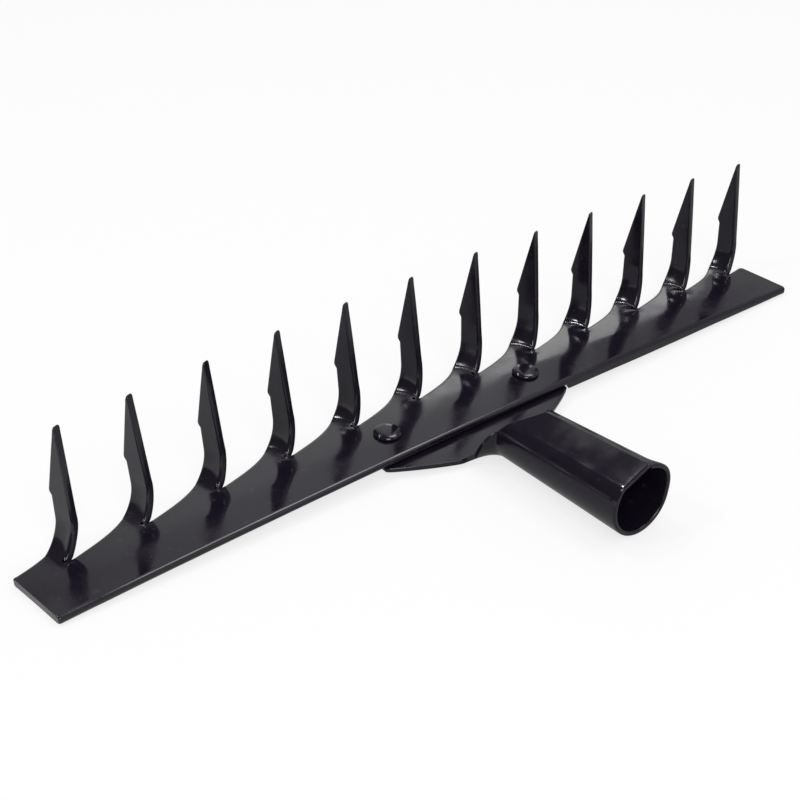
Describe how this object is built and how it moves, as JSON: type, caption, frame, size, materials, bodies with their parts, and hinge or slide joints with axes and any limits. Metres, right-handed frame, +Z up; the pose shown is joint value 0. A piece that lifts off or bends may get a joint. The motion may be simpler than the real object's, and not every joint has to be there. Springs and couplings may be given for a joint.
{
  "type": "garden rake head",
  "caption": "Black painted steel garden rake head: an arched plate with upturned twisted teeth, and a rolled sheet handle socket riveted under it.",
  "frame": {"origin": "bottom centre of the bounding box, on the plane on which the head rests teeth up", "axes": "+X along the bar, +Y from the socket's mouth towards the teeth, +Z up along the teeth"},
  "size_m": [0.3942, 0.1308, 0.0636],
  "materials": {
    "head_paint": "glossy black paint, uneven and slightly streaked",
    "socket_paint": "glossy black paint, slightly rougher than on the plate",
    "rivet_paint": "glossy black paint over flattened heads"
  },
  "bodies": {
    "root": {"head_plate": "head_paint", "socket": "socket_paint", "rivet_left": "rivet_paint", "rivet_right": "rivet_paint"}
  },
  "joints": []
}
